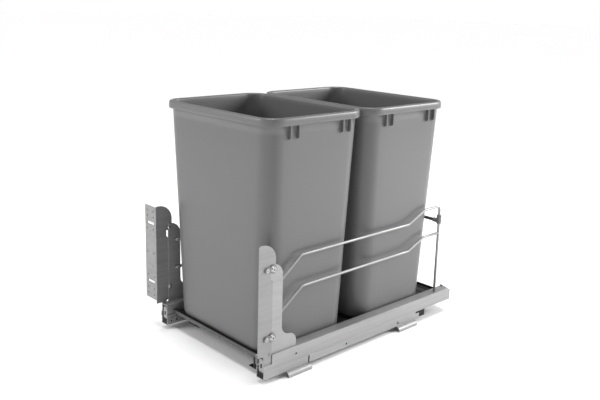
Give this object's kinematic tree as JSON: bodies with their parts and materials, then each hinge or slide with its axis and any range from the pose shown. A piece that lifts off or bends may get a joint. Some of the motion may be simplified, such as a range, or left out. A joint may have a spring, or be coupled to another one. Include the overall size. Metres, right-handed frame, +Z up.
{
  "type": "double pull-out waste bin unit",
  "caption": "Silver-grey double waste bin unit on floor-mounted full-extension slides, with wire side rails, a ribbed tray and brackets for the cabinet door.",
  "frame": {"origin": "midway between the four floor screw holes, on the cabinet floor under the feet", "axes": "+X to the right side seen from the door, -Y out of the cabinet towards the door, +Z up"},
  "size_m": [0.3857, 0.573, 0.4895],
  "materials": {
    "zinc_steel": "satin zinc-plated sheet",
    "bright_hardware": "bright plated",
    "bright_wire": "bright plated wire",
    "black_plastic": "matte black",
    "mat_rubber": "matte black, ribbed",
    "bin_plastic": "matte silver grey, fine texture"
  },
  "bodies": {
    "cabinet_side": {"right_cabinet_member": "zinc_steel", "left_cabinet_member": "zinc_steel", "right_front_foot": "zinc_steel", "left_front_foot": "zinc_steel", "right_rear_foot": "zinc_steel", "left_rear_foot": "zinc_steel", "right_front_bumper": "black_plastic", "left_front_bumper": "black_plastic", "right_rear_stop": "black_plastic", "left_rear_stop": "black_plastic"},
    "carriage": {"right_side_rail": "zinc_steel", "left_side_rail": "zinc_steel", "tray_pan": "zinc_steel", "tray_mat": "mat_rubber", "front_hook": "black_plastic", "right_inner_bracket": "zinc_steel", "left_inner_bracket": "zinc_steel", "right_wire_rail": "bright_wire", "left_wire_rail": "bright_wire", "rear_bar": "black_plastic", "right_bar_clip": "black_plastic", "left_bar_clip": "black_plastic", "bracket_bolts": "bright_hardware", "bracket_washers": "bright_hardware"},
    "right_middle": {"right_middle_member": "zinc_steel", "right_slide_cap": "black_plastic"},
    "left_middle": {"left_middle_member": "zinc_steel", "left_slide_cap": "black_plastic"},
    "right_lower_bearing": {"right_lower_cage": "black_plastic", "right_lower_rollers": "bright_hardware"},
    "left_lower_bearing": {"left_lower_cage": "black_plastic", "left_lower_rollers": "bright_hardware"},
    "right_upper_bearing": {"right_upper_cage": "black_plastic", "right_upper_rollers": "bright_hardware"},
    "left_upper_bearing": {"left_upper_cage": "black_plastic", "left_upper_rollers": "bright_hardware"},
    "right_door_mount": {"right_door_bracket": "zinc_steel"},
    "left_door_mount": {"left_door_bracket": "zinc_steel"},
    "front_bin_body": {"front_bin": "bin_plastic"},
    "rear_bin_body": {"rear_bin": "bin_plastic"}
  },
  "joints": [
    {"name": "pull_out", "type": "slide", "parent": "cabinet_side", "child": "carriage", "axis": [0, -1, 0], "range_m": [0, 0.456]},
    {"name": "right_middle_slide", "type": "slide", "parent": "cabinet_side", "child": "right_middle", "axis": [0, -1, 0], "range_m": [0, 0.228]},
    {"name": "right_lower_bearing_roll", "type": "slide", "parent": "cabinet_side", "child": "right_lower_bearing", "axis": [0, -1, 0], "range_m": [0, 0.114]},
    {"name": "right_upper_bearing_roll", "type": "slide", "parent": "cabinet_side", "child": "right_upper_bearing", "axis": [0, -1, 0], "range_m": [0, 0.342]},
    {"name": "left_middle_slide", "type": "slide", "parent": "cabinet_side", "child": "left_middle", "axis": [0, -1, 0], "range_m": [0, 0.228]},
    {"name": "left_lower_bearing_roll", "type": "slide", "parent": "cabinet_side", "child": "left_lower_bearing", "axis": [0, -1, 0], "range_m": [0, 0.114]},
    {"name": "left_upper_bearing_roll", "type": "slide", "parent": "cabinet_side", "child": "left_upper_bearing", "axis": [0, -1, 0], "range_m": [0, 0.342]},
    {"name": "right_door_height_adjust", "type": "slide", "parent": "carriage", "child": "right_door_mount", "axis": [0, 0, 1], "range_m": [-0.002, 0.006]},
    {"name": "left_door_height_adjust", "type": "slide", "parent": "carriage", "child": "left_door_mount", "axis": [0, 0, 1], "range_m": [-0.002, 0.006]},
    {"name": "front_bin_lift_out", "type": "slide", "parent": "carriage", "child": "front_bin_body", "axis": [0, 0, 1], "range_m": [0, 0.46]},
    {"name": "rear_bin_lift_out", "type": "slide", "parent": "carriage", "child": "rear_bin_body", "axis": [0, 0, 1], "range_m": [0, 0.46]}
  ],
  "couplings": [
    {"joint": "right_middle_slide", "follows": "pull_out", "ratio": 0.5},
    {"joint": "right_lower_bearing_roll", "follows": "pull_out", "ratio": 0.25},
    {"joint": "right_upper_bearing_roll", "follows": "pull_out", "ratio": 0.75},
    {"joint": "left_middle_slide", "follows": "pull_out", "ratio": 0.5},
    {"joint": "left_lower_bearing_roll", "follows": "pull_out", "ratio": 0.25},
    {"joint": "left_upper_bearing_roll", "follows": "pull_out", "ratio": 0.75}
  ]
}
